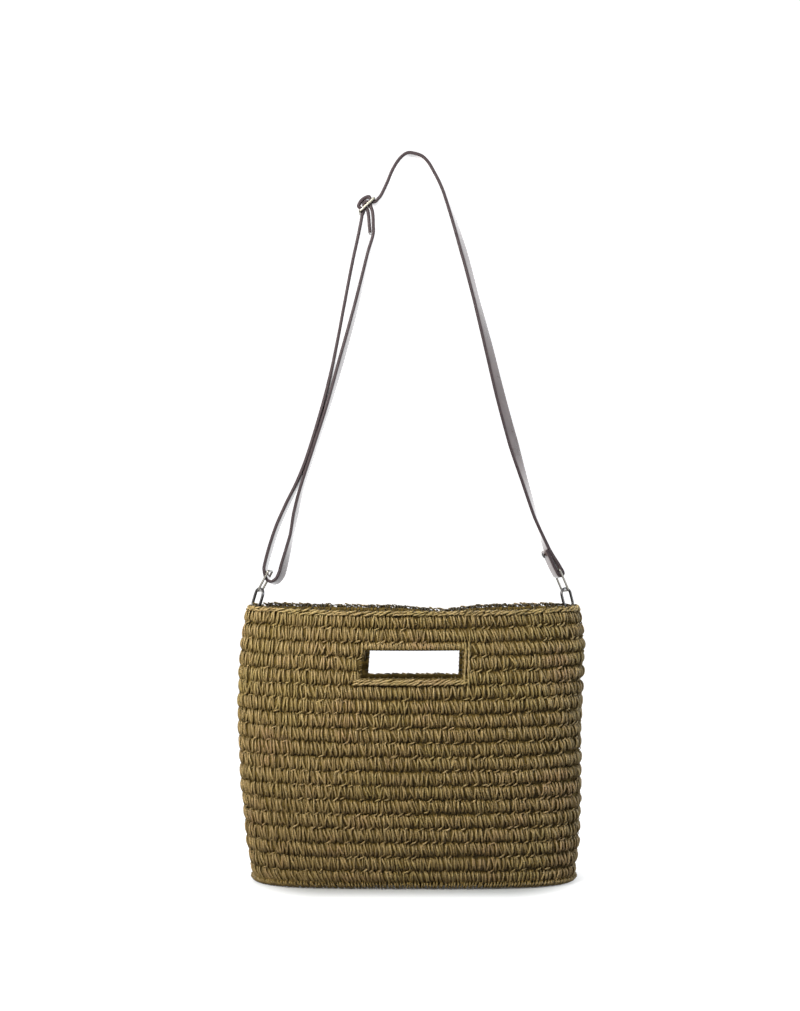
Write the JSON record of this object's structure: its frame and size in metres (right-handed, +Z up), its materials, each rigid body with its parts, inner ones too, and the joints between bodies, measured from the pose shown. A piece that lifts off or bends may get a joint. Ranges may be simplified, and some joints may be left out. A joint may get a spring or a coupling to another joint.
{
  "type": "straw shoulder bag",
  "caption": "Crocheted straw basket bag with cut-out hand grips and a long leather shoulder strap held by metal links and a slider.",
  "frame": {"origin": "underside of the strap at its highest point, where a hook or a shoulder carries the bag", "axes": "+Z up along the hanging bag, +X towards the right-hand end, -Y towards the front; the base is at z = -0.711"},
  "size_m": [0.3415, 0.1018, 0.7143],
  "materials": {
    "straw": "twisted paper straw in satin khaki, worked in rounds of crochet stitches",
    "strap_leather": "smooth dark brown leather with a soft sheen",
    "pale_nickel": "polished pale nickel",
    "dark_nickel": "polished dark nickel",
    "pale_gold": "polished pale gold"
  },
  "bodies": {
    "root": {"basket": "straw", "ring_left_lower": "dark_nickel", "ring_left_upper": "pale_nickel", "ring_right_lower": "dark_nickel", "ring_right_upper": "pale_nickel", "strap": "strap_leather", "slider": "pale_gold", "strap_rivet": "dark_nickel"}
  },
  "joints": []
}
